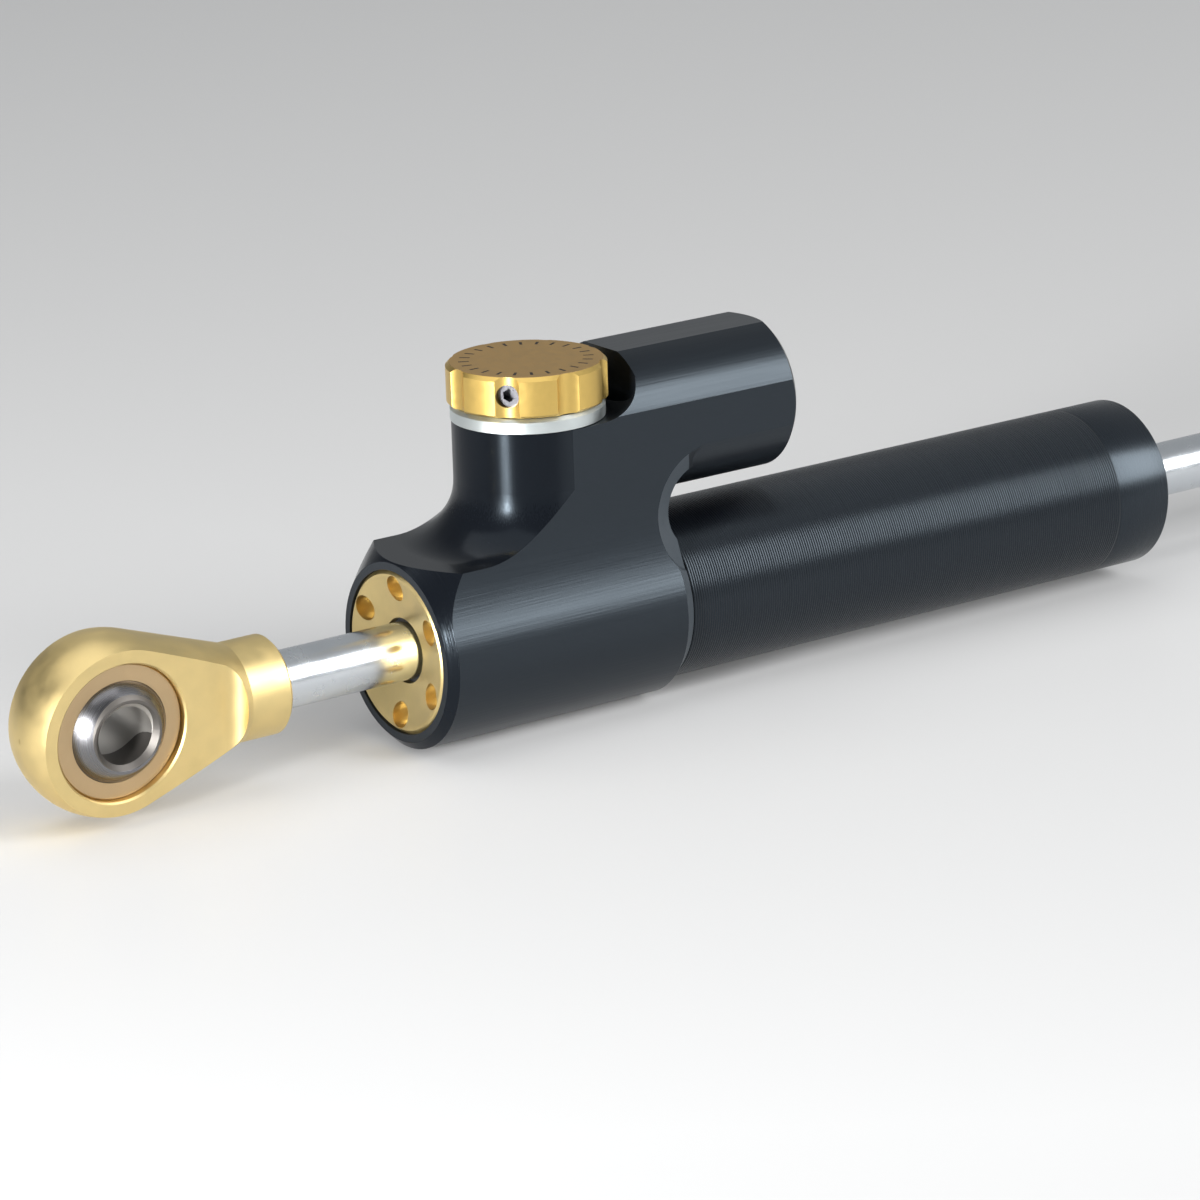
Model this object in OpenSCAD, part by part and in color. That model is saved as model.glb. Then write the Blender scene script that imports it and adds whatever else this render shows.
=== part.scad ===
// Linear motorcycle steering damper with a through rod, a side valve tower and a rod end.
// Millimetres. The rod runs along X with the rod end at -X, the valve tower points up +Z.
// The origin is on the rod axis, in the middle of the tube's clamp seat.
// Sizes along X are counted from the front cap's face.

/* [Rod] */
// Rod diameter
rod_d = 10; // [9:0.25:11]
// Rod showing between the front cap and the rod end's collar
rod_front = 25.7; // [25:0.1:40]
// Travel of the rod into the body from this position
travel_in = 24; // [10:1:24]
// Travel of the rod out of the body from this position
travel_out = 66; // [30:1:69]
// Rod left showing behind the body when the rod is fully out
rod_spare = 6; // [4:0.5:20]
// How far the rod goes into the rod end's collar
rod_thread = 14; // [8:0.5:16]

/* [Rod end] */
// Outside diameter of the rounded eye
eye_d = 31; // [29:0.5:36]
// Width across the eye's two flats
eye_w = 12; // [11.5:0.1:13.5]
// Distance from the eye's centre to the end of the collar
eye_reach = 31.2; // [29:0.1:36]
// Collar diameter
collar_d = 17; // [14:0.25:19]
// Length of the straight part of the collar
collar_len = 7.9; // [5:0.1:10]
// Angle the eye is turned to about the rod
eye_turn = 5; // [-30:1:30]
// Race outside diameter
race_d = 23.6; // [22.5:0.1:25]
// Race width
race_w = 9.8; // [9:0.1:11.5]
// Ball diameter
ball_d = 20; // [19.4:0.1:20.8]
// Ball width across its two faces
ball_w = 15.4; // [14:0.1:15.6]
// Hole through the ball
ball_bore_d = 10; // [8:0.25:10]

/* [Housing] */
// Barrel diameter
barrel_d = 34; // [33:0.25:40]
// Length of the barrel
barrel_len = 51.3; // [50:0.1:54]
// Width across the web's flat sides, also the valve tower's diameter
web_w = 26.2; // [24:0.1:27]
// Height at which the web starts to flare out into the barrel
flare_z = 21; // [19:0.5:23]
// Height of the reservoir's axis
upper_z = 32.8; // [32:0.1:35]
// Reservoir housing diameter
upper_d = 27.4; // [27.2:0.1:29]
// Height of the flat on top of the reservoir above its axis
upper_flat = 12.8; // [12:0.1:13.4]
// Rear end of the reservoir housing
upper_end = 76.4; // [75:0.1:90]
// Position of the valve tower's axis
tower_x = 28.7; // [28:0.1:30]
// Height of the tower's top face
floor_z = 36.2; // [35.5:0.1:36.4]
// Height of the saddle at the nose
saddle_z = 15.8; // [15.6:0.1:17]
// Radius from the saddle up to the tower
saddle_r = 10; // [7:0.5:11]
// Radius of the front lip around the cap
lip_r = 15.6; // [15.2:0.1:16]
// Position of the wall behind the knob
pocket_x = 44.2; // [43.8:0.1:46]
// Diameter of the round pocket about the knob
pocket_d = 36.8; // [36.5:0.1:38]
// Radius from the tower's top face up to the pocket's wall
pocket_r = 4.5; // [3:0.25:4.75]
// Radius of the cut between web and reservoir at the rear
arc_r = 11.5; // [11:0.1:12]
// How far the bevel round that cut goes into the web's side
rear_bevel_w = 2.1; // [1:0.1:2.4]

/* [Tube] */
// Outside diameter of the tube, the clamp seat
tube_d = 30.6; // [30:0.1:33]
// Tube wall
tube_wall = 2; // [1.6:0.1:2.2]
// Rear end of the tube
tube_end = 160.7; // [160:0.1:175]
// Oil passage between the tube and the cylinder sleeve
oil_gap = 1.1; // [0.8:0.1:1.6]
// Sleeve wall
sleeve_wall = 1.2; // [0.8:0.1:1.4]

/* [Front cap] */
// Cap diameter
cap_d = 28.4; // [27.5:0.1:29]
// Cap length
cap_len = 9; // [8:0.25:10]
// Hole around the rod
cap_hole_d = 11.4; // [11:0.1:13]
// Circle of the spanner holes
cap_pcd = 22.3; // [21.5:0.1:22.9]
// Spanner hole diameter
cap_pin_d = 4.5; // [3:0.25:4.75]
// How deep the cap's face is dished at the hole
cap_dish = 1.6; // [0.4:0.1:2]
// Number of spanner holes
cap_pins = 6; // [3:1:8]

/* [Piston] */
// Piston length
piston_len = 12; // [10:0.5:14]

/* [Knob and valve] */
// Knob diameter
knob_d = 27.5; // [25:0.25:29]
// Knob height
knob_h = 7; // [6.5:0.1:8]
// Number of scallops in the knob's edge
scallops = 8; // [4:1:12]
// Depth of the scallops
scallop_depth = 0.9; // [0.3:0.1:1.2]
// Direction the grub screw faces, from +X towards +Y
screw_angle = 221; // [0:1:360]
// Diameter of the valve body's flange under the knob
ring_d = 26.5; // [24:0.25:28]
// Height of the flange
ring_h = 2.5; // [2:0.1:3]
// Clicks per turn
clicks = 20; // [12:1:22]
// Valve body's threaded diameter
plug_d = 14; // [13:0.25:16]
// Spindle diameter
spindle_d = 6; // [5.5:0.1:6.5]
// Orifice under the needle
orifice_d = 2.4; // [2:0.1:2.8]

/* [Reservoir] */
// Reservoir bore
res_d = 20; // [18:0.25:21]
// Front end of the reservoir bore
res_x = 50; // [49:0.25:51]

/* [Fits] */
// Radial gap round pieces that turn or slide
run_gap = 0.04; // [0.02:0.01:0.08]
// Radial gap round pieces that are screwed or pushed in
seat_gap = 0.03; // [0.01:0.01:0.06]
// Gap between faces that end next to each other
face_gap = 0.15; // [0.1:0.01:0.3]

/* [Hidden] */
$fn = 96;
gold = [0.86, 0.70, 0.36];
black = [0.07, 0.08, 0.09];
steel = [0.80, 0.81, 0.83];
bronze = [0.62, 0.45, 0.26];
rubber = [0.05, 0.05, 0.05];
past = 100;

rod_r = rod_d/2;
tube_r = tube_d/2;
edge = 0.5;
seat_front = barrel_len + face_gap;
seat_back = tube_end - edge;
seat_mid = (seat_front + seat_back)/2;

// Rod end
eye_r = eye_d/2;
collar_r = collar_d/2;
collar_x = -rod_front;
eye_x = collar_x - eye_reach;
neck_x = collar_x - collar_len;
rod_start = collar_x - rod_thread;
race_r = race_d/2;
flat_end = neck_x - 1.2;
flat_fillet = 3;
ball_gap = 0.05;
hole_edge = 0.3;
race_edge = 0.35;
bore_edge = 0.9;

// Housing
barrel_r = barrel_d/2;
web_r = web_w/2;
upper_r = upper_d/2;
flare_r = (web_r*web_r + flare_z*flare_z - barrel_r*barrel_r)/(2*(barrel_r - web_r));
flare_touch = (web_r + flare_r)*barrel_r/(barrel_r + flare_r);
web_top = floor_z + 0.3;
nose_depth = 8;
chamfer = 1;
arc_z = 17.2;
bevel_slope = 1.4;
bevel_from = 30;
arc_front = 45.8;
arc_x = arc_front + arc_r;
rear_slope = 1.75;
bevel_top = 8.8;
flare_slope = 0.42;
rear_low_z = 20;
web_margin = 2;
web_end = arc_x - web_margin;

// Oil side of the body
cap_r = cap_d/2;
cap_edge = 0.7;
cap_rim_r = cap_r - 1.2;
cap_cone = cap_dish/(cap_rim_r - cap_hole_d/2);
wiper_x = cap_dish + 1.2;
guide_front = cap_len + face_gap;
guide_len = 12.7;
spigot_len = 3.2;
guide_step = guide_front + guide_len;
guide_end = guide_step + spigot_len;
tube_bore = tube_r - tube_wall;
guide_r = tube_bore - 0.25;
thread_r = tube_r - 0.7;
tube_start = 36;
sleeve_ro = tube_bore - oil_gap;
sleeve_ri = sleeve_ro - sleeve_wall;
sleeve_front = guide_step + face_gap;
gland_inset = 1.9;
gland_len = 18;
gland_back = tube_end - gland_inset;
gland_step = gland_back - gland_len;
gland_front = gland_step - spigot_len;
sleeve_back = gland_step - face_gap;
seal_len = 4;
wiper_len = 3.8;
seal_wall = 3.3;
seal_r = rod_r + seal_wall;
seal_groove_r = 0.8;
bush_wall = 1.5;
bush_r = rod_r + bush_wall;
bush_len = 9;
port_r = 1.25;
guide_port_r = 1;
guide_port_set = 7.3;
guide_port_x = guide_front + guide_port_set;
guide_port_ring = (sleeve_ri + bush_r)/2 + 0.35;
clip_t = 1;
clip_depth = 0.7;
clip_wall = 2.2;
clip_open = 6;
groove_w = 2;
groove_deep = 1.2;
ring_wire = 0.52;
front_ring_x = guide_front + 3.4;
rear_ring_x = gland_step + gland_len/2 - 1;
cap_pin_depth = 4;
drill_tip_r = 0.1;
gland_pin_depth = 4;
gland_pin_r = cap_pin_d/2 - 0.5;
gland_pin_ring = (seal_r + tube_bore)/2;
rod_back = tube_end + travel_out + rod_spare;
piston_ring_w = 4;
piston_ring_t = 1.5;
piston_x = (guide_end + gland_front + travel_out - travel_in)/2;

// Valve
tower_r = web_r;
ring_z = floor_z + face_gap;
ring_chamfer = 0.6;
knob_chamfer = 0.7;
knob_low_edge = 0.4;
knob_z = ring_z + ring_h + 0.3;
knob_top = knob_z + knob_h;
plug_r = plug_d/2;
plug_len = 13.2;
plug_z = floor_z - plug_len;
spindle_r = spindle_d/2;
shoulder_z = 7.6;
shoulder_t = 2.2;
collar_top = plug_z + shoulder_z;
collar_low = collar_top - shoulder_t;
key_r = 4.95;
key_top = collar_low - face_gap;
hex_af = 4;
seat_z = 17;
needle_tip_z = seat_z - 0.9;
tip_len = 2.4;
stem_z = needle_tip_z + tip_len;
stem_r = 1.5;
stem_reach = 6;
stem_room = 1.5;
orifice_r = orifice_d/2;
click_r = 9;
click_ball_r = 1.5;
click_ball_z = ring_z + ring_h + 1;
click_gap = 0.05;
click_hole_r = 0.9;
click_hole_depth = 1.2;
screw_r = 2;
screw_z = knob_z + knob_h*0.52;
scallop_r = 3.4;
spring_wire = 0.3;

// Reservoir
res_r = res_d/2;
float_room = 4.6;
float_len = 8;
float_x = res_x + float_room;
lid_len = 7;
lid_x = float_x + float_len + float_room;
lid_back = lid_x + lid_len;
lid_clip_x = lid_back + 0.1;

// Placing and plain shapes
module at_seat() { translate([-seat_mid, 0, 0]) children(); }
module turned() { rotate([0, 90, 0]) rotate_extrude() children(); }
module along_x(a, b) { translate([a, 0, 0]) rotate([90, 0, 90]) linear_extrude(b - a) children(); }
module bar_x(r, a, b) { translate([a, 0, 0]) rotate([0, 90, 0]) cylinder(r = r, h = b - a); }
module ring_x(ri, ro, a, b) {
    turned() translate([ri, a]) square([ro - ri, b - a]);
}
module oring_x(r, wire, x) { turned() translate([r, x]) circle(wire); }
module pin_ring(r) {
    for (i = [0:cap_pins - 1]) rotate([i*360/cap_pins, 0, 0]) translate([0, 0, r]) children();
}
module groove_x(r, x) { ring_x(r - groove_deep, past, x - groove_w/2, x + groove_w/2); }
module at_tower() { translate([tower_x, 0, 0]) children(); }
module at_upper() { translate([0, 0, upper_z]) children(); }
module at_eye() { rotate([eye_turn, 0, 0]) translate([eye_x, 0, 0]) rotate([90, 0, 0]) children(); }
module clip_x(ri, ro, x, gap_w) {
    difference() {
        ring_x(ri, ro, x, x + clip_t);
        translate([x - 1, -gap_w/2, 0]) cube([clip_t + 2, gap_w, ro + 1]);
    }
}
module slant(x1, z1, x2, z2, r) {
    translate([x1, 0, z1]) rotate([0, atan2(x2 - x1, z2 - z1), 0])
        cylinder(r = r, h = norm([x2 - x1, z2 - z1]));
}

// Housing
module web_section() {
    circle(barrel_r);
    translate([-web_r, 0]) square([web_w, web_top]);
    difference() {
        translate([-flare_touch, 0]) square([2*flare_touch, flare_z]);
        for (s = [-1, 1]) translate([s*(web_r + flare_r), flare_z]) circle(flare_r, $fn = 240);
    }
}
module upper_section() {
    intersection() {
        translate([0, upper_z]) circle(upper_r);
        translate([-web_r, 0]) square([web_w, upper_z + upper_flat]);
    }
}
module front_bevel() {
    turned() polygon([
        [lip_r, -1], [lip_r, 0], [lip_r + nose_depth, nose_depth],
        [past, nose_depth], [past, -1]
    ]);
}
module rear_cone() {
    reach = barrel_len - bevel_from;
    turned() polygon([
        [0, bevel_from - 1], [tube_r + (reach + 1)/bevel_slope, bevel_from - 1],
        [tube_r - 4/bevel_slope, barrel_len + 4], [0, barrel_len + 4]
    ]);
}
module rear_arc() {
    inside = web_r - rear_bevel_w;
    outside = web_r + 0.05;
    wide = barrel_r + 1;
    low_r = arc_r - rear_slope*(outside - inside);
    wide_r = arc_r + flare_slope*(wide - outside);
    translate([arc_x, 0, arc_z]) rotate([90, 0, 0]) rotate_extrude() polygon([
        [0, -wide], [wide_r, -wide], [arc_r, -outside], [low_r, -inside],
        [low_r, inside], [arc_r, outside], [wide_r, wide], [0, wide]
    ]);
}
module rear_bevel() {
    difference() {
        translate([bevel_from, -past, -past]) cube([past, 2*past, past + bevel_top]);
        rear_cone();
    }
    translate([barrel_len, -past, -past]) cube([past, 2*past, past + rear_low_z]);
    rear_arc();
}
module saddle() {
    intersection() {
        at_tower() rotate_extrude() {
            translate([tower_r + saddle_r, saddle_z]) square([past, past]);
            translate([tower_r, saddle_z + saddle_r]) square([past, past]);
            translate([tower_r + saddle_r, saddle_z + saddle_r]) circle(saddle_r);
        }
        translate([tower_x - past, -past, 0]) cube([past, 2*past, past]);
    }
}
module knob_pocket() {
    intersection() {
        at_tower() rotate_extrude() {
            translate([0, floor_z]) square([pocket_d/2 - pocket_r, past]);
            translate([0, floor_z + pocket_r]) square([pocket_d/2, past]);
            translate([pocket_d/2 - pocket_r, floor_z + pocket_r]) circle(pocket_r);
        }
        translate([pocket_x - past, -past/2, 0]) cube([past, past, 2*past]);
    }
}
module upper_body() {
    difference() {
        along_x(tower_x, upper_end) upper_section();
        at_upper() turned() polygon([
            [upper_r - chamfer, upper_end], [upper_r + 1, upper_end - chamfer - 1],
            [upper_r + 1, upper_end + 1], [upper_r - chamfer, upper_end + 1]
        ]);
    }
}
module oil_ways() {
    at_tower() cylinder(r = orifice_r, h = seat_z + 1);
    at_tower() translate([0, 0, seat_z]) cylinder(r = key_r + 0.2, h = plug_z - seat_z + 0.5);
    slant(guide_port_x, guide_r - 1, tower_x - 3, seat_z + 2, port_r);
    slant(tower_x, seat_z + 2.5, res_x + 1, upper_z - res_r + 2.4, port_r);
}
module housing() color(black) difference() {
    union() {
        difference() {
            along_x(0, web_end) web_section();
            rear_bevel();
        }
        upper_body();
    }
    front_bevel();
    saddle();
    knob_pocket();
    bar_x(cap_r + seat_gap, -1, cap_len + face_gap/2);
    bar_x(guide_r + seat_gap, cap_len, tube_start);
    bar_x(thread_r + seat_gap, tube_start, past);
    turned() translate([guide_r + 0.5, tube_start - 1]) square([1.3, 1.5]);
    at_tower() translate([0, 0, plug_z]) cylinder(r = plug_r + seat_gap, h = past);
    oil_ways();
    at_upper() bar_x(res_r, res_x, past);
    at_upper() ring_x(res_r - 1, res_r + clip_depth, lid_clip_x, lid_clip_x + clip_t + 0.1);
}

// Tube and sleeve
module main_tube() color(black) difference() {
    turned() polygon([
        [0, tube_start + face_gap], [thread_r, tube_start + face_gap], [thread_r, seat_front],
        [tube_r, seat_front], [tube_r, seat_back], [tube_r - edge, tube_end], [0, tube_end]
    ]);
    bar_x(tube_bore, 0, tube_end + 1);
    ring_x(tube_bore - 1, tube_bore + clip_depth, gland_back + 0.1, gland_back + clip_t + 0.2);
}
module cylinder_sleeve() color(steel) difference() {
    ring_x(sleeve_ri, sleeve_ro, sleeve_front, sleeve_back);
    for (a = [0:90:270]) rotate([a, 0, 0])
        translate([gland_front - 3, 0, 0]) cylinder(r = port_r, h = sleeve_ro + 1);
}
module tube_oring() color(rubber) oring_x(guide_r + 1.15, 0.55, tube_start - 0.45);

// Front seals and guide
module front_cap() color(gold) difference() {
    turned() polygon([
        [0, cap_cone*cap_rim_r], [cap_rim_r, 0], [cap_r - cap_edge, 0], [cap_r, cap_edge],
        [cap_r, cap_len], [0, cap_len]
    ]);
    bar_x(cap_hole_d/2, -1, cap_len + 1);
    bar_x(seal_r + seat_gap, wiper_x, cap_len + 1);
    pin_ring(cap_pcd/2) {
        bar_x(cap_pin_d/2, -1, cap_pin_depth);
        translate([cap_pin_depth, 0, 0]) rotate([0, 90, 0])
            cylinder(r1 = cap_pin_d/2, r2 = drill_tip_r, h = cap_pin_d/3);
    }
}
module lip_seal(x, len, side) {
    turned() difference() {
        translate([rod_r + run_gap, x]) square([seal_r - rod_r - run_gap, len]);
        translate([(rod_r + seal_r)/2, x + (side > 0 ? len : 0)]) circle(seal_groove_r);
    }
}
module front_wiper() color(rubber) lip_seal(wiper_x + 0.2, wiper_len, -1);
module front_rod_guide() color(steel) difference() {
    turned() polygon([
        [0, guide_front], [guide_r, guide_front], [guide_r, guide_step],
        [sleeve_ri - seat_gap, guide_step], [sleeve_ri - seat_gap, guide_end], [0, guide_end]
    ]);
    bar_x(rod_r + 0.5, 0, past);
    bar_x(seal_r + seat_gap, 0, guide_front + seal_len + 0.3);
    bar_x(bush_r + seat_gap, guide_end - bush_len - 0.2, past);
    groove_x(guide_r, front_ring_x);
    ring_x(guide_r - groove_deep, past, guide_port_x - 1.3*guide_port_r, guide_port_x + 1.3*guide_port_r);
    for (a = [30:60:330]) rotate([a, 0, 0]) {
        translate([0, 0, guide_port_ring]) bar_x(guide_port_r, guide_port_x, past);
        translate([guide_port_x, 0, guide_port_ring]) cylinder(r = guide_port_r, h = past);
    }
}
module front_rod_seal() color(rubber) lip_seal(guide_front + 0.15, seal_len, 1);
module front_guide_bush() color(bronze)
    ring_x(rod_r + run_gap, bush_r, guide_end - bush_len, guide_end);
module front_guide_oring() color(rubber) oring_x(guide_r - ring_wire, ring_wire, front_ring_x);

// Rear gland
module rear_gland() color(black) difference() {
    turned() polygon([
        [0, gland_front], [sleeve_ri - seat_gap, gland_front], [sleeve_ri - seat_gap, gland_step],
        [tube_bore - seat_gap, gland_step], [tube_bore - seat_gap, gland_back], [0, gland_back]
    ]);
    bar_x(rod_r + 0.5, 0, 2*past);
    bar_x(bush_r + seat_gap, 0, gland_front + bush_len + 0.2);
    bar_x(seal_r + seat_gap, gland_back - wiper_len - seal_len - 0.5, 2*past);
    groove_x(tube_bore, rear_ring_x);
    pin_ring(gland_pin_ring) bar_x(gland_pin_r, gland_back - gland_pin_depth, 2*past);
}
module rear_guide_bush() color(bronze)
    ring_x(rod_r + run_gap, bush_r, gland_front, gland_front + bush_len);
module rear_rod_seal() color(rubber)
    lip_seal(gland_back - wiper_len - seal_len - 0.3, seal_len, -1);
module rear_wiper() color(rubber) lip_seal(gland_back - wiper_len - 0.1, wiper_len, 1);
module rear_gland_oring() color(rubber) oring_x(tube_bore - ring_wire - seat_gap, ring_wire, rear_ring_x);
module rear_circlip() color(steel)
    clip_x(tube_bore - clip_wall, tube_bore + clip_depth - 0.1, gland_back + 0.15, clip_open);

// Rod and piston
module rod() color(steel) difference() {
    turned() polygon([
        [0, rod_start], [rod_r - edge, rod_start], [rod_r, rod_start + edge],
        [rod_r, rod_back - chamfer], [rod_r - chamfer, rod_back], [0, rod_back]
    ]);
    for (x = [piston_x - piston_len/2 - clip_t - 0.2, piston_x + piston_len/2 + 0.1])
        ring_x(rod_r - clip_depth, past, x, x + clip_t + 0.1);
}
module piston() color(steel) difference() {
    ring_x(rod_r + run_gap, sleeve_ri - 0.2, piston_x - piston_len/2, piston_x + piston_len/2);
    ring_x(sleeve_ri - piston_ring_t - 0.1, past,
        piston_x - piston_ring_w/2 - 0.1, piston_x + piston_ring_w/2 + 0.1);
}
module piston_ring() color(bronze)
    ring_x(sleeve_ri - piston_ring_t, sleeve_ri - run_gap,
        piston_x - piston_ring_w/2, piston_x + piston_ring_w/2);
module piston_circlips() color(steel)
    for (x = [piston_x - piston_len/2 - clip_t - 0.15, piston_x + piston_len/2 + 0.15])
        clip_x(rod_r - clip_depth + 0.1, rod_r + 1.8, x, clip_open - 1);

// Rod end
module eye_shape() {
    intersection() {
        union() {
            translate([0, eye_x]) circle(eye_r);
            polygon([
                [0, eye_x], [eye_touch_r, eye_touch_x], [collar_r, neck_x],
                [collar_r, collar_x - edge], [collar_r - edge, collar_x], [0, collar_x]
            ]);
        }
        translate([0, -past]) square([past, 2*past]);
    }
}
reach_angle = atan2(collar_r, neck_x - eye_x);
touch_angle = reach_angle + acos(eye_r/norm([collar_r, neck_x - eye_x]));
eye_touch_r = eye_r*sin(touch_angle);
eye_touch_x = eye_x + eye_r*cos(touch_angle);
module eye_flats() {
    for (s = [-1, 1]) {
        translate([eye_x - past, s > 0 ? eye_w/2 : -eye_w/2 - past, -past/2])
            cube([past + flat_end - eye_x - flat_fillet, past, past]);
        translate([flat_end - flat_fillet, s*(eye_w/2 + flat_fillet), -past/2])
            cylinder(r = flat_fillet, h = past);
    }
}
module rod_end_eye() color(gold) rotate([eye_turn, 0, 0]) difference() {
    turned() eye_shape();
    eye_flats();
    translate([eye_x, 0, 0]) rotate([90, 0, 0]) {
        cylinder(r = race_r + seat_gap, h = past, center = true);
        for (s = [0, 180]) rotate([s, 0, 0]) translate([0, 0, eye_w/2 - hole_edge])
            cylinder(r1 = race_r + seat_gap, r2 = race_r + seat_gap + 2*hole_edge, h = 2*hole_edge);
    }
    bar_x(rod_r + seat_gap, rod_start - 0.5, past);
}
module bearing_race() color(bronze) at_eye() difference() {
    rotate_extrude() polygon([
        [0, -race_w/2], [race_r - race_edge, -race_w/2], [race_r, race_edge - race_w/2],
        [race_r, race_w/2 - race_edge], [race_r - race_edge, race_w/2], [0, race_w/2]
    ]);
    sphere(ball_d/2 + ball_gap);
}
module bearing_ball() color(steel) at_eye() difference() {
    intersection() {
        sphere(ball_d/2);
        cube([past, past, ball_w], center = true);
    }
    cylinder(d = ball_bore_d, h = past, center = true);
    for (s = [0, 180]) rotate([s, 0, 0]) translate([0, 0, ball_w/2 - bore_edge])
        cylinder(r1 = ball_bore_d/2, r2 = ball_bore_d/2 + 2*bore_edge, h = 2*bore_edge);
}

// Valve
module valve_body() color(steel) at_tower() difference() {
    union() {
        rotate_extrude() polygon([
            [0, ring_z], [ring_d/2, ring_z], [ring_d/2, ring_z + ring_h - ring_chamfer],
            [ring_d/2 - ring_chamfer, ring_z + ring_h], [0, ring_z + ring_h]
        ]);
        translate([0, 0, plug_z + face_gap]) cylinder(r = plug_r, h = ring_z - plug_z);
    }
    cylinder(r = spindle_r + run_gap, h = past);
    cylinder(r = key_r + seat_gap, h = collar_top + face_gap);
    translate([0, 0, plug_z + 2.6]) rotate_extrude() translate([plug_r - 0.9, 0]) square([2, 1.6]);
    translate([0, 0, click_ball_z]) rotate_extrude() translate([click_r, 0])
        circle(click_ball_r + click_gap);
    for (i = [0:clicks - 1]) rotate([0, 0, i*360/clicks])
        translate([click_r, 0, ring_z + ring_h - click_hole_depth]) cylinder(r = click_hole_r, h = 2);
}
module valve_body_oring() color(rubber) at_tower()
    translate([0, 0, plug_z + 3.4]) rotate_extrude() translate([plug_r - 0.45, 0]) circle(0.42);
module spindle() color(steel) at_tower() difference() {
    union() {
        translate([0, 0, collar_low]) cylinder(r = key_r - 0.3, h = collar_top - collar_low);
        translate([0, 0, collar_low]) cylinder(r = spindle_r, h = knob_top - 2 - collar_low);
    }
    translate([0, 0, collar_low - 1]) cylinder(r = stem_r + run_gap, h = stem_reach + stem_room + 1);
    translate([0, 0, collar_top + 1.6]) rotate_extrude()
        translate([spindle_r - 0.9, 0]) square([2, 1.6]);
}
module spindle_oring() color(rubber) at_tower()
    translate([0, 0, collar_top + 2.4]) rotate_extrude() translate([spindle_r - 0.42, 0]) circle(0.4);
module hexagon(af, h) { cylinder(d = af/cos(30), h = h, $fn = 6); }
module needle_guide() color(bronze) at_tower() difference() {
    translate([0, 0, plug_z + 0.3]) cylinder(r = key_r, h = key_top - plug_z - 0.3);
    hexagon(hex_af + 2*run_gap, past);
}
module metering_needle() color(steel) at_tower() {
    translate([0, 0, needle_tip_z]) cylinder(r1 = 0.4, r2 = stem_r, h = tip_len);
    translate([0, 0, stem_z]) cylinder(r = stem_r, h = collar_low + stem_reach - stem_z);
    translate([0, 0, plug_z - 1.5]) hexagon(hex_af, key_top - plug_z);
}
module adjuster_knob() color(gold) at_tower() difference() {
    rotate_extrude() polygon([
        [0, knob_z], [knob_d/2 - knob_low_edge, knob_z], [knob_d/2, knob_z + knob_low_edge],
        [knob_d/2, knob_top - knob_chamfer], [knob_d/2 - knob_chamfer, knob_top], [0, knob_top]
    ]);
    for (i = [0:scallops - 1]) rotate([0, 0, screw_angle + i*360/scallops])
        translate([knob_d/2 + scallop_r - scallop_depth, 0, 0]) cylinder(r = scallop_r, h = past);
    cylinder(r = spindle_r + seat_gap, h = knob_top - 1.8);
    rotate([0, 0, screw_angle]) translate([0, 0, screw_z]) bar_x(screw_r, 0, past);
    translate([click_r, 0, 0]) cylinder(r = click_ball_r + run_gap, h = knob_top - 1.4);
}
module knob_grub_screw() color(steel) at_tower() rotate([0, 0, screw_angle]) translate([0, 0, screw_z])
    difference() {
        bar_x(screw_r - seat_gap, spindle_r + 0.1, knob_d/2 - scallop_depth - 0.8);
        rotate([0, 90, 0]) translate([0, 0, knob_d/2 - scallop_depth - 2.8]) hexagon(2, past);
    }
module click_ball() color(steel) at_tower() translate([click_r, 0, click_ball_z]) sphere(click_ball_r);
module click_spring() color(steel) at_tower() translate([click_r, 0, 0]) rotate_extrude()
    for (z = [click_ball_z + click_ball_r + 0.35:0.5:knob_top - 1.7])
        translate([click_ball_r - spring_wire - 0.15, z]) circle(spring_wire);

// Reservoir
module reservoir_piston() color(steel) at_upper() difference() {
    bar_x(res_r - run_gap, float_x, float_x + float_len);
    groove_x(res_r - 0.1, float_x + float_len/2);
    bar_x(res_r - 3.5, float_x + float_len - 4, past);
}
module reservoir_piston_oring() color(rubber) at_upper()
    oring_x(res_r - 0.1 - ring_wire, ring_wire, float_x + float_len/2);
module reservoir_lid() color(black) at_upper() difference() {
    bar_x(res_r - seat_gap, lid_x, lid_back);
    groove_x(res_r - 0.1, lid_x + lid_len/2);
    bar_x(screw_r, 0, past);
}
module reservoir_lid_oring() color(rubber) at_upper()
    oring_x(res_r - 0.1 - ring_wire, ring_wire, lid_x + lid_len/2);
module reservoir_circlip() color(steel) at_upper()
    clip_x(res_r - clip_wall, res_r + clip_depth - 0.1, lid_back + 0.15, clip_open);
module gas_screw() color(steel) at_upper() difference() {
    bar_x(screw_r - seat_gap, lid_x + 0.8, lid_back - 0.6);
    rotate([0, 90, 0]) translate([0, 0, lid_back - 2.8]) hexagon(2, past);
}

at_seat() housing();
at_seat() main_tube();
at_seat() cylinder_sleeve();
at_seat() front_cap();
at_seat() front_wiper();
at_seat() front_rod_seal();
at_seat() front_rod_guide();
at_seat() front_guide_bush();
at_seat() front_guide_oring();
at_seat() tube_oring();
at_seat() rear_gland();
at_seat() rear_guide_bush();
at_seat() rear_rod_seal();
at_seat() rear_wiper();
at_seat() rear_gland_oring();
at_seat() rear_circlip();
at_seat() rod();
at_seat() piston();
at_seat() piston_ring();
at_seat() piston_circlips();
at_seat() rod_end_eye();
at_seat() bearing_race();
at_seat() bearing_ball();
at_seat() valve_body();
at_seat() valve_body_oring();
at_seat() spindle();
at_seat() spindle_oring();
at_seat() needle_guide();
at_seat() metering_needle();
at_seat() adjuster_knob();
at_seat() knob_grub_screw();
at_seat() click_ball();
at_seat() click_spring();
at_seat() reservoir_piston();
at_seat() reservoir_piston_oring();
at_seat() reservoir_lid();
at_seat() reservoir_lid_oring();
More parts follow.
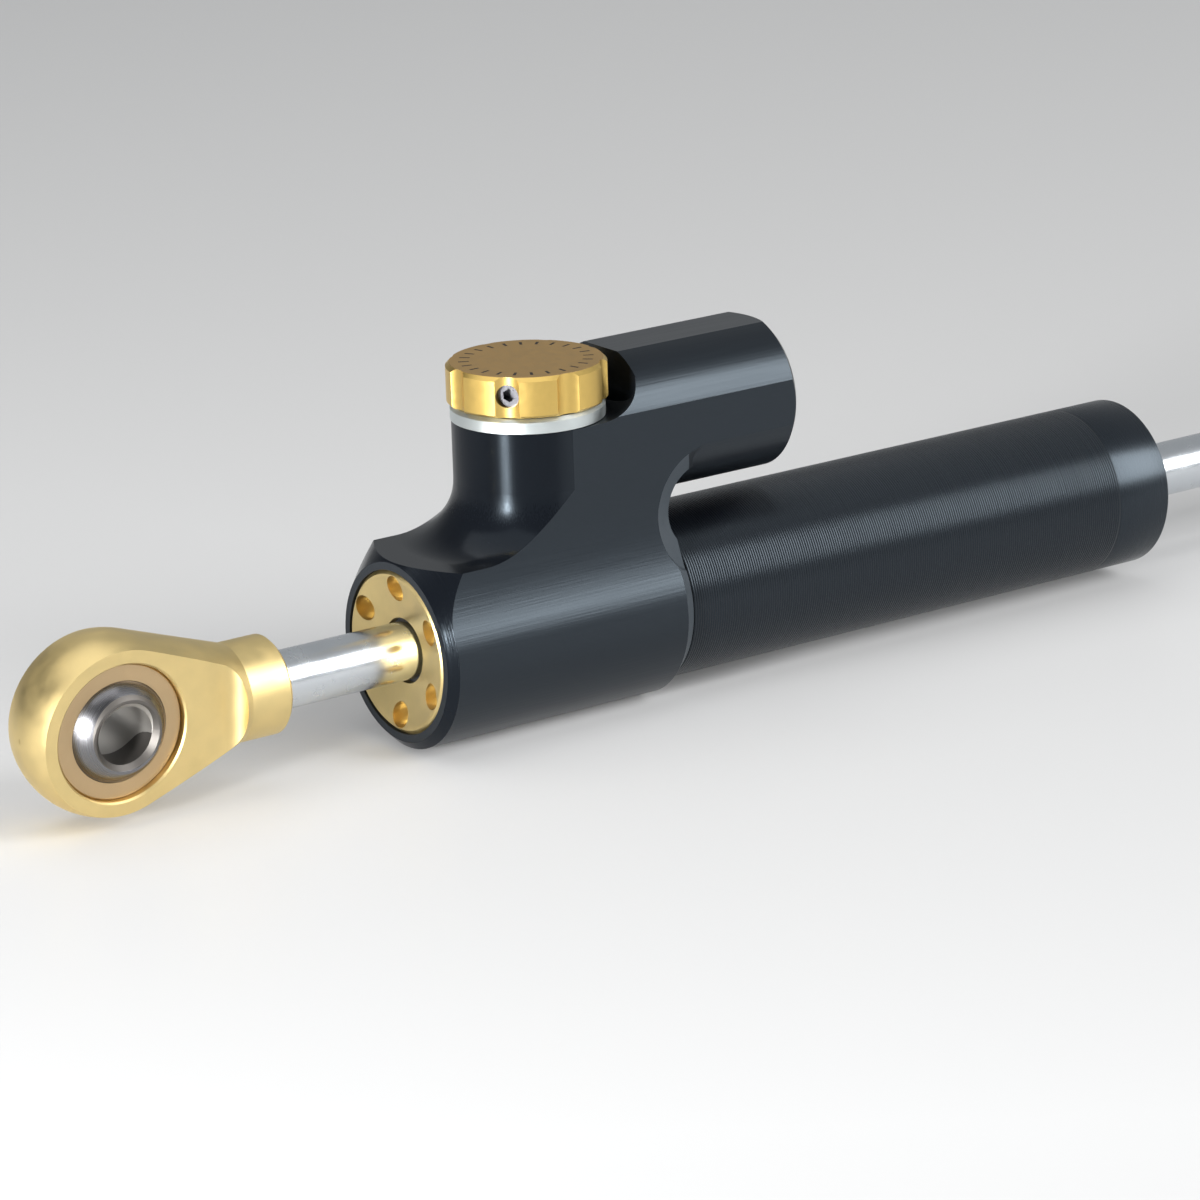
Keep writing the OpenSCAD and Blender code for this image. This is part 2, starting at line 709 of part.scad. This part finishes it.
at_seat() reservoir_circlip();
at_seat() gas_screw();
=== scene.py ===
# Finishes, fine turned detail, floor, lights and camera for a linear steering damper.
import math

import bpy
from mathutils import Matrix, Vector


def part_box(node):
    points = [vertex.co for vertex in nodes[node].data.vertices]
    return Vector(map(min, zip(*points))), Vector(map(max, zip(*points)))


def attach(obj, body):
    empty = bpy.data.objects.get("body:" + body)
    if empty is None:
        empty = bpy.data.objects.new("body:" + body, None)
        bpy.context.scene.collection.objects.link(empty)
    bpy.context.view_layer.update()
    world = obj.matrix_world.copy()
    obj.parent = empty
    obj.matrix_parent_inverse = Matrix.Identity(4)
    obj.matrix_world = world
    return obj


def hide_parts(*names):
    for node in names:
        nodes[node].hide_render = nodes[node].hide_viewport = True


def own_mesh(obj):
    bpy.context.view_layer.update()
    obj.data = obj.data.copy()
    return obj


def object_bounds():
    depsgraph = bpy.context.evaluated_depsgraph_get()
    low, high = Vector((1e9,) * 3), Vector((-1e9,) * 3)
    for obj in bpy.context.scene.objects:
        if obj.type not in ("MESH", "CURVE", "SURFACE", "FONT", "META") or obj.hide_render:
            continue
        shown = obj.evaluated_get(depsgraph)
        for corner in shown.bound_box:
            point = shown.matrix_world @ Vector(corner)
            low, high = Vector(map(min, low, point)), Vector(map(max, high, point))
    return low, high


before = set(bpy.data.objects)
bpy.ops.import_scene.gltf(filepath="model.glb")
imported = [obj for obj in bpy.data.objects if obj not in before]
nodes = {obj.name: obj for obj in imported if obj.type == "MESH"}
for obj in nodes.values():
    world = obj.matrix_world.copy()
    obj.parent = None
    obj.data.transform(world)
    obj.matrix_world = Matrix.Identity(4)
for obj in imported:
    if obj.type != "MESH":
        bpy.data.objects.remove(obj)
cad_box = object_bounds()
mm = 0.001


def middle(node):
    low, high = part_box(node)
    return (low + high) / 2


def at(x):
    """Place along the rod, from the length in mm behind the front cap's face."""
    return face_x + x * mm


# Places and sizes that the finishes and the new pieces use
face_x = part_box("front_cap")[0].x
tower = middle("adjuster_knob")
knob_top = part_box("adjuster_knob")[1].z
eye = middle("bearing_ball")
tube_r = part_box("main_tube")[1].z
lip_r = 15.6 * mm
saddle_z = 15.8 * mm
collar_x = at(149.0)
rear_bevel_x = at(44)
rear_bevel_top = 28 * mm
tick_r, tick_width, tick_length = 10.6 * mm, 0.5 * mm, 1.8 * mm
tick_step = math.radians(15)
ball_bright_r, ball_bore_r = 6.45 * mm, 5.1 * mm
near = 0.05 * mm


# Shader helpers
class Paint:
    """One material's node tree, with short calls for the nodes that its pattern needs."""

    def __init__(self, name, colour, roughness, metallic=0.0, specular=0.5):
        self.material = bpy.data.materials.new(name)
        self.material.use_nodes = True
        self.tree = self.material.node_tree
        self.shader = self.tree.nodes["Principled BSDF"]
        self.set("Base Color", (*colour, 1))
        self.set("Roughness", roughness)
        self.set("Metallic", metallic)
        self.set("Specular IOR Level", specular)
        place = self.tree.nodes.new("ShaderNodeTexCoord")
        self.place = place.outputs["Object"]

    def set(self, socket, value):
        self.shader.inputs[socket].default_value = value

    def feed(self, socket, output):
        self.tree.links.new(output, self.shader.inputs[socket])

    def put(self, socket, value):
        if isinstance(value, bpy.types.NodeSocket):
            self.tree.links.new(value, socket)
        else:
            socket.default_value = value

    def math(self, operation, *values, clamp=False):
        node = self.tree.nodes.new("ShaderNodeMath")
        node.operation = operation
        node.use_clamp = clamp
        for socket, value in zip(node.inputs, values):
            self.put(socket, value)
        return node.outputs[0]

    def times(self, *values):
        product = values[0]
        for value in values[1:]:
            product = self.math("MULTIPLY", product, value)
        return product

    def vector(self, operation, *values):
        node = self.tree.nodes.new("ShaderNodeVectorMath")
        node.operation = operation
        for socket, value in zip(node.inputs, values):
            self.put(socket, value)
        return node.outputs["Value" if operation in ("LENGTH", "DOT_PRODUCT") else "Vector"]

    def parts(self, source=None):
        node = self.tree.nodes.new("ShaderNodeSeparateXYZ")
        self.put(node.inputs[0], source or self.place)
        return node.outputs

    def noise(self, source, scale, detail, one_dimension=False):
        node = self.tree.nodes.new("ShaderNodeTexNoise")
        node.noise_dimensions = "1D" if one_dimension else "3D"
        self.put(node.inputs["W" if one_dimension else "Vector"], source)
        node.inputs["Scale"].default_value = scale
        node.inputs["Detail"].default_value = detail
        return node.outputs["Fac"]

    def between(self, value, low, high, out_low=0.0, out_high=1.0):
        node = self.tree.nodes.new("ShaderNodeMapRange")
        for socket, number in zip(node.inputs, (value, low, high, out_low, out_high)):
            self.put(socket, number)
        return node.outputs[0]

    def mix(self, factor, first, second):
        """Mix of two colours."""
        node = self.tree.nodes.new("ShaderNodeMix")
        node.data_type = "RGBA"
        self.put(node.inputs[0], factor)
        self.put(node.inputs[6], (*first, 1) if isinstance(first, tuple) else first)
        self.put(node.inputs[7], (*second, 1) if isinstance(second, tuple) else second)
        return node.outputs[2]

    def blend(self, factor, first, second):
        """Mix of two values."""
        node = self.tree.nodes.new("ShaderNodeMix")
        self.put(node.inputs[0], factor)
        self.put(node.inputs[2], first)
        self.put(node.inputs[3], second)
        return node.outputs[0]

    def bump(self, height, distance, strength=1.0):
        node = self.tree.nodes.new("ShaderNodeBump")
        node.inputs["Distance"].default_value = distance
        node.inputs["Strength"].default_value = strength
        self.tree.links.new(height, node.inputs["Height"])
        self.feed("Normal", node.outputs[0])

    def radius(self, centre, axis):
        """Distance from a line through centre along axis x, y or z."""
        away = self.vector("SUBTRACT", self.place, tuple(centre))
        flat = [0.0 if name == axis else 1.0 for name in "xyz"]
        return self.vector("LENGTH", self.vector("MULTIPLY", away, tuple(flat)))

    def round_grain(self, centre, axis_vector):
        """Turns the shader's grain round a line, as lathe marks lie."""
        away = self.vector("SUBTRACT", self.place, tuple(centre))
        along = self.vector("CROSS_PRODUCT", tuple(axis_vector), away)
        self.feed("Tangent", self.vector("NORMALIZE", along))
        self.set("Anisotropic Rotation", 0.25)


def cover(paint, *names):
    """Gives CAD nodes a finish through their material slots."""
    for name in names:
        node = nodes[name]
        node.data.materials.clear()
        node.data.materials.append(paint.material)


def lathe_marks(paint, along, pitch, depth):
    """Uneven fine rings, from a noise along one length."""
    fine = paint.noise(along, 1 / pitch, 3.0, one_dimension=True)
    paint.bump(paint.between(fine, 0.25, 0.75), depth)
    return fine


# Lengths that a finish's marks run along
def along_rod(paint):
    return paint.parts()[0]


def from_rod(paint):
    return paint.radius((0, 0, 0), "x")


def up_tower(paint):
    return paint.parts()[2]


def from_eye(paint):
    return paint.radius(eye, "y")


# Finishes
black = (0.004, 0.005, 0.007)
black_sheen = (0.72, 0.87, 1.0, 1)


def black_housing():
    """Milled along the rod, and turned on the tower, the saddle before it and the cone at the nose. The
    rear bevel gets a painted highlight: a lighter grey colour.
    """
    paint = Paint("black_anodised_milled", black, 0.30)
    paint.set("Specular Tint", black_sheen)
    x, y, z = paint.parts()
    facing = paint.parts(paint.tree.nodes.new("ShaderNodeNewGeometry").outputs["Normal"])
    around_rod = paint.radius((0, 0, 0), "x")

    ahead = paint.math("LESS_THAN", x, tower.x + near)
    above = paint.math("GREATER_THAN", z, saddle_z - near)
    round_face = paint.math("GREATER_THAN", paint.math("ABSOLUTE", facing[0]), 0.02)
    level_face = paint.math("GREATER_THAN", facing[2], 0.9)
    saddle = paint.times(ahead, above, paint.math("MAXIMUM", round_face, level_face))
    cone = paint.math("SUBTRACT", around_rod, paint.math("ADD", x, lip_r - face_x))
    nose = paint.math("GREATER_THAN", cone, -2 * near)
    turned = paint.math("MAXIMUM", saddle, nose)

    rings = paint.noise(around_rod, 1 / (0.25 * mm), 2.0, one_dimension=True)
    streaks = paint.noise(paint.vector("MULTIPLY", paint.place, (50.0, 2600.0, 2600.0)), 1.0, 3.0)
    upright = paint.noise(paint.vector("MULTIPLY", paint.place, (5000.0, 5000.0, 80.0)), 1.0, 3.0)
    marks = paint.blend(nose, paint.times(upright, 0.2), rings)
    paint.bump(paint.blend(turned, streaks, marks), 0.03 * mm, 0.5)

    # Painted highlight: the rear bevel is coloured a lighter grey than the black, to stand in for the
    # light that it catches.
    back = paint.times(paint.math("GREATER_THAN", x, rear_bevel_x),
                       paint.math("LESS_THAN", z, rear_bevel_top))
    slant = paint.math("ABSOLUTE", paint.math("SUBTRACT", facing[0], 0.45))
    rear_bevel_painted_highlight = paint.times(back, paint.math("LESS_THAN", slant, 0.25))
    paint.feed("Base Color", paint.mix(rear_bevel_painted_highlight, black, (0.055, 0.065, 0.075)))

    milled = paint.between(streaks, 0.3, 0.7, 0.28, 0.33)
    wall = paint.between(z, saddle_z + 2 * mm, saddle_z + 10 * mm)
    low_wall = paint.between(upright, 0.35, 0.65, 0.15, 0.22)
    high_wall = paint.between(upright, 0.35, 0.65, 0.30, 0.38)
    paint.feed("Roughness", paint.blend(turned, milled, paint.blend(wall, low_wall, high_wall)))
    paint.feed("Specular IOR Level", paint.blend(turned, 0.5, 0.18))
    paint.round_grain(tower, (0, 0, 1))
    paint.feed("Anisotropic", paint.times(turned, wall, 0.9))
    return paint


def black_tube():
    """Turned black, a little smoother on the plain collar behind the grooves."""
    paint = Paint("black_anodised_grooved", black, 0.30)
    paint.set("Specular Tint", black_sheen)
    x = along_rod(paint)
    fine = lathe_marks(paint, x, 0.12 * mm, 0.002 * mm)
    collar = paint.math("GREATER_THAN", x, collar_x)
    grooved = paint.between(fine, 0.3, 0.7, 0.26, 0.31)
    smooth = paint.between(fine, 0.3, 0.7, 0.24, 0.29)
    paint.feed("Roughness", paint.blend(collar, grooved, smooth))
    paint.feed("Specular IOR Level", paint.blend(collar, 0.45, 0.55))
    return paint


def gold(name, colour, along, roughness):
    """Satin gold with a faint cloud in its colour and sheen, and lathe marks."""
    paint = Paint(name, colour, roughness, metallic=1.0)
    cloud = paint.noise(paint.place, 300.0, 3.0)
    tint = tuple(c * 0.93 for c in colour)
    paint.feed("Base Color", paint.mix(paint.between(cloud, 0.3, 0.7), tint, colour))
    paint.feed("Roughness", paint.between(cloud, 0.3, 0.7, roughness - 0.04, roughness + 0.04))
    lathe_marks(paint, along(paint), 0.15 * mm, 0.001 * mm)
    return paint


def gold_knob():
    """The knob's gold, with a matt brown top and plain dark ticks near its edge."""
    paint = Paint("gold_anodised_knob", (0.80, 0.56, 0.17), 0.34, metallic=1.0)
    x, y, z = paint.parts()
    away = paint.radius(tower, "z")
    top = paint.math("GREATER_THAN", z, knob_top - near)
    turn = paint.math("ARCTAN2", paint.math("SUBTRACT", y, tower.y), paint.math("SUBTRACT", x, tower.x))
    tick = paint.math("LESS_THAN", paint.math("PINGPONG", turn, tick_step / 2), tick_width / 2 / tick_r)
    off_ring = paint.math("ABSOLUTE", paint.math("SUBTRACT", away, tick_r))
    mark = paint.times(tick, paint.math("LESS_THAN", off_ring, tick_length / 2), top)
    cloud = paint.noise(paint.place, 900.0, 3.0)
    side = paint.mix(cloud, (0.68, 0.47, 0.14), (0.76, 0.53, 0.16))
    brown = paint.mix(cloud, (0.38, 0.25, 0.10), (0.44, 0.29, 0.12))
    paint.feed("Base Color", paint.mix(mark, paint.mix(top, side, brown), (0.05, 0.04, 0.03)))
    side_sheen = paint.between(cloud, 0.3, 0.7, 0.32, 0.38)
    top_sheen = paint.between(cloud, 0.3, 0.7, 0.52, 0.60)
    paint.feed("Roughness", paint.blend(top, side_sheen, top_sheen))
    lathe_marks(paint, away, 0.15 * mm, 0.001 * mm)
    return paint


def ball_steel():
    """Polished steel that is duller and darker round the bore."""
    bright = (0.20, 0.20, 0.21)
    paint = Paint("polished_steel", bright, 0.26, metallic=1.0)
    away = from_eye(paint)
    dull = paint.math("LESS_THAN", away, ball_bright_r)
    fine = lathe_marks(paint, away, 0.1 * mm, 0.001 * mm)
    bore = paint.math("LESS_THAN", away, ball_bore_r)
    inside = paint.mix(bore, (0.15, 0.14, 0.13), (0.50, 0.48, 0.45))
    paint.feed("Base Color", paint.mix(dull, bright, inside))
    paint.feed("Roughness", paint.blend(dull, paint.between(fine, 0.3, 0.7, 0.24, 0.29), 0.5))
    return paint


def bare_metal(name, colour, roughness, along, depth=0.0015):
    """Turned metal: fine marks whose depth is given in mm, and a faint cloud in the sheen."""
    paint = Paint(name, colour, roughness, metallic=1.0)
    lathe_marks(paint, along(paint), 0.1 * mm, depth * mm)
    cloud = paint.noise(paint.place, 250.0, 3.0)
    paint.feed("Roughness", paint.between(cloud, 0.3, 0.7, roughness * 0.85, roughness * 1.2))
    return paint


def seal_rubber():
    """Dull black rubber with a fine grain."""
    paint = Paint("seal_rubber", (0.015, 0.015, 0.015), 0.55)
    cloud = paint.noise(paint.place, 1500.0, 2.0)
    paint.bump(cloud, 0.01 * mm)
    return paint


# New pieces
def edit(piece):
    """Starts editing one piece, with nothing else selected."""
    bpy.ops.object.select_all(action="DESELECT")
    piece.select_set(True)
    bpy.context.view_layer.objects.active = piece
    bpy.ops.object.mode_set(mode="EDIT")


def leave():
    bpy.ops.object.mode_set(mode="OBJECT")


def pick(piece, test):
    """Selects only the points whose place passes the test, while the piece is being edited."""
    leave()
    mesh = piece.data
    for group in (mesh.vertices, mesh.edges, mesh.polygons):
        group.foreach_set("select", [False] * len(group))
    for point in mesh.vertices:
        point.select = test(point.co)
    for edge in mesh.edges:
        edge.select = all(mesh.vertices[i].select for i in edge.vertices)
    bpy.ops.object.mode_set(mode="EDIT")


def turn_profile(start, stations):
    """Draws the selected ring on along the rod's axis, through the (place, radius) stations."""
    x, radius = start
    for next_x, next_radius in stations:
        bpy.ops.mesh.extrude_region_move(TRANSFORM_OT_translate={"value": (next_x - x, 0, 0)})
        grow = next_radius / radius
        bpy.ops.transform.resize(value=(1, grow, grow))
        x, radius = next_x, next_radius


def finish_piece(piece, paint, body, replaced):
    """Merges a piece's points, gives it its finish and puts it in its node's place."""
    edit(piece)
    bpy.ops.mesh.select_all(action="SELECT")
    bpy.ops.mesh.remove_doubles(threshold=0.002 * mm)
    bpy.ops.mesh.normals_make_consistent(inside=False)
    leave()
    bpy.ops.object.transform_apply(location=True, rotation=True, scale=True)
    bpy.ops.object.shade_smooth_by_angle(angle=math.radians(30))
    piece.data.materials.clear()
    piece.data.materials.append(paint.material)
    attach(piece, body)
    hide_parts(replaced)


def grooved_tube(paint):
    """The tube with its fine turned grooves as real rings, and the plain collar behind them."""
    pitch, groove, depth = 0.5 * mm, 0.22 * mm, 0.06 * mm
    first, last = at(51.45), at(148.45)
    front, back = at(36.15), at(160.7)
    bore, clip_r, thread = 13.3 * mm, 14.0 * mm, 14.6 * mm
    line_r = tube_r - 0.07 * mm
    bpy.ops.object.select_all(action="DESELECT")
    bpy.ops.mesh.primitive_circle_add(
        vertices=112, radius=tube_r, location=(first, 0, 0), rotation=(0, math.pi / 2, 0))
    piece = bpy.context.object
    piece.name = "grooved_tube"
    bpy.ops.object.transform_apply(location=True, rotation=True, scale=True)
    edit(piece)
    bpy.ops.mesh.select_all(action="SELECT")
    turn_profile((first, tube_r), [
        (first + groove / 2, tube_r - depth), (first + groove, tube_r), (first + pitch, tube_r)])
    leave()
    rows = piece.modifiers.new("rows", "ARRAY")
    rows.use_relative_offset = False
    rows.use_constant_offset = True
    rows.constant_offset_displace = (pitch, 0, 0)
    rows.use_merge_vertices = True
    rows.merge_threshold = 0.02 * mm
    rows.count = round((last - first) / pitch)
    bpy.ops.object.modifier_apply(modifier=rows.name)
    edit(piece)
    pick(piece, lambda place: place.x > last - 0.01 * mm)
    turned_line = [(at(148.6), line_r), (at(148.9), line_r), (at(149.05), tube_r)]
    rear_end = [(back - 0.5 * mm, tube_r), (back, tube_r - 0.5 * mm), (back, bore + 0.3 * mm),
                (back - 0.3 * mm, bore)]
    clip_groove = [(at(160.0), bore), (at(160.0), clip_r), (at(158.9), clip_r), (at(158.9), bore)]
    inside = [(front, bore), (front, thread), (first, thread), (first, tube_r)]
    turn_profile((last, tube_r), turned_line + rear_end + clip_groove + inside)
    leave()
    finish_piece(piece, paint, "body", "main_tube")


def knob_spring(paint):
    """The spring over the click ball, as a piece with its own mesh; the real spring shortens as the
    ball lifts.
    """
    piece = bpy.data.objects.new("knob_spring", nodes["click_spring"].data.copy())
    bpy.context.scene.collection.objects.link(piece)
    finish_piece(piece, paint, "knob_unit", "click_spring")
    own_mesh(piece)


tube_black = black_tube()
ground_steel = bare_metal("ground_steel", (0.60, 0.61, 0.63), 0.25, from_rod)
grooved_tube(tube_black)
knob_spring(ground_steel)

# The finish of each CAD node
pale_gold = (0.74, 0.58, 0.27)
bronze = (0.52, 0.38, 0.22)
cover(black_housing(), "housing")
cover(tube_black, "main_tube", "rear_gland", "reservoir_lid")
cover(gold("gold_anodised_eye", pale_gold, along_rod, 0.44), "rod_end_eye")
cover(gold("gold_anodised_cap", pale_gold, from_rod, 0.38), "front_cap")
cover(gold_knob(), "adjuster_knob")
cover(bare_metal("silver_anodised", (0.54, 0.58, 0.58), 0.48, up_tower), "valve_body")
cover(bare_metal("hard_chrome", (0.63, 0.66, 0.69), 0.24, along_rod, depth=0.0006), "rod")
cover(ball_steel(), "bearing_ball")
cover(bare_metal("bearing_bronze", bronze, 0.42, from_eye), "bearing_race")
cover(ground_steel, "rear_circlip", "reservoir_circlip", "piston_circlips", "spindle",
      "metering_needle", "cylinder_sleeve", "click_ball")
cover(bare_metal("dark_steel", (0.11, 0.11, 0.12), 0.28, from_rod), "knob_grub_screw", "gas_screw")
cover(bare_metal("turned_aluminium", (0.70, 0.71, 0.72), 0.32, from_rod),
      "front_rod_guide", "piston", "reservoir_piston")
cover(bare_metal("bush_bronze", bronze, 0.35, from_rod),
      "front_guide_bush", "rear_guide_bush", "needle_guide", "piston_ring")
rubber_parts = [name for name in nodes if "seal" in name or "wiper" in name or "oring" in name]
cover(seal_rubber(), *rubber_parts)

# Camera at the photographed view
camera_place = (-0.543043, -0.67848, 0.253277)
yaw, pitch, roll = (math.radians(turn) for turn in (54.741, -16.912, -1.815))
camera_data = bpy.data.cameras.new("camera")
camera_data.lens = 150.42
camera_data.sensor_width = 36
camera_data.clip_start = 0.01
camera = bpy.data.objects.new("camera", camera_data)
bpy.context.scene.collection.objects.link(camera)
camera.matrix_world = (
    Matrix.Translation(camera_place)
    @ Matrix.Rotation(yaw - math.pi / 2, 4, "Z")
    @ Matrix.Rotation(pitch + math.pi / 2, 4, "X")
    @ Matrix.Rotation(roll, 4, "Z")
)
bpy.context.scene.camera = camera

# Floor, surroundings and lamps
floor_z = cad_box[0].z - 0.2 * mm
floor_light = 1.16
floor_glow = 0.10
world_low, world_high = 0.12, 0.43
key_far, key_turn = 1.80, math.radians(33)
left_far, left_turn = 0.90, math.radians(200)


def studio_floor():
    """A pale sheet with painted shade: its colour darkens slowly with the distance, as under a studio
    sweep.
    """
    bpy.ops.object.select_all(action="DESELECT")
    bpy.ops.mesh.primitive_plane_add(size=12, location=(0, 0, floor_z))
    floor = bpy.context.object
    floor.name = "floor"
    paint = Paint("pale_floor", (0.8, 0.8, 0.8), 0.3, specular=0.01)
    away = (math.cos(yaw), math.sin(yaw), 0)
    depth = paint.vector("DOT_PRODUCT", paint.place, away)
    fall = paint.math("EXPONENT", paint.math("DIVIDE", depth, -0.35))
    # Painted shade: the colour falls off with the distance along the camera's view, standing in for the
    # studio light's fall-off; the glow that camera and glossy rays see has this colour too.
    shade = paint.math("MINIMUM", paint.math("ADD", 0.45, paint.times(fall, 0.27)), 0.97)
    # lift lowers the near floor's colour and raises the far floor's, making up for the lamps' own
    # fall-off so that the painted shade shows.
    lift = paint.between(depth, -0.8, 0.8, 0.40, 1.60)
    base = paint.math("DIVIDE", paint.times(shade, lift), floor_light)
    paint.feed("Base Color", paint.math("MINIMUM", base, 0.9))
    rays = paint.tree.nodes.new("ShaderNodeLightPath")
    seen = paint.math("ADD", rays.outputs["Is Camera Ray"], rays.outputs["Is Glossy Ray"], clamp=True)
    glow = paint.tree.nodes.new("ShaderNodeEmission")
    paint.put(glow.inputs["Color"], shade)
    both = paint.tree.nodes.new("ShaderNodeMixShader")
    paint.put(both.inputs[0], paint.times(seen, floor_glow))
    paint.put(both.inputs[1], paint.shader.outputs[0])
    paint.put(both.inputs[2], glow.outputs[0])
    paint.put(paint.tree.nodes["Material Output"].inputs["Surface"], both.outputs[0])
    floor.data.materials.append(paint.material)


def lamp(name, place, turn, size_x, size_y, radiance):
    """A softbox whose brightness doesn't change with its size."""
    light = bpy.data.lights.new(name, "AREA")
    light.shape = "RECTANGLE"
    light.size = size_x
    light.size_y = size_y
    light.energy = radiance * math.pi * size_x * size_y
    thing = bpy.data.objects.new(name, light)
    bpy.context.scene.collection.objects.link(thing)
    thing.location = place
    thing.rotation_euler = turn
    thing.visible_camera = False


def studio_world():
    """Dim surroundings, paler towards the rod's free end."""
    world = bpy.data.worlds.new("studio")
    bpy.context.scene.world = world
    world.use_nodes = True
    tree = world.node_tree
    background = tree.nodes["Background"]
    place = tree.nodes.new("ShaderNodeTexCoord")
    lean = tree.nodes.new("ShaderNodeVectorMath")
    lean.operation = "DOT_PRODUCT"
    lean.inputs[1].default_value = (1.0, 0.1, 0.0)
    tree.links.new(place.outputs["Generated"], lean.inputs[0])
    level = tree.nodes.new("ShaderNodeMapRange")
    level.interpolation_type = "SMOOTHSTEP"
    for socket, value in zip(level.inputs[1:5], (-0.1, 0.55, world_low, world_high)):
        socket.default_value = value
    tree.links.new(lean.outputs["Value"], level.inputs[0])
    tree.links.new(level.outputs[0], background.inputs["Strength"])
    background.inputs["Color"].default_value = (0.95, 0.98, 1.0, 1)


studio_floor()
studio_world()
lamp("key_softbox", (1.05, -key_far * math.cos(key_turn), key_far * math.sin(key_turn)),
     (math.pi / 2 - key_turn, 0, 0), 1.40, 1.20, 8.8)
lamp("left_softbox",
     (tower.x + left_far * math.cos(left_turn), left_far * math.sin(left_turn), 0.12),
     (math.pi / 2, 0, left_turn + math.pi / 2), 0.14, 0.20, 190)
lamp("top_softbox", (-0.35, 0.15, 1.0), (0, 0, 0), 1.1, 1.3, 1.3)

bpy.context.scene.view_settings.view_transform = "Standard"
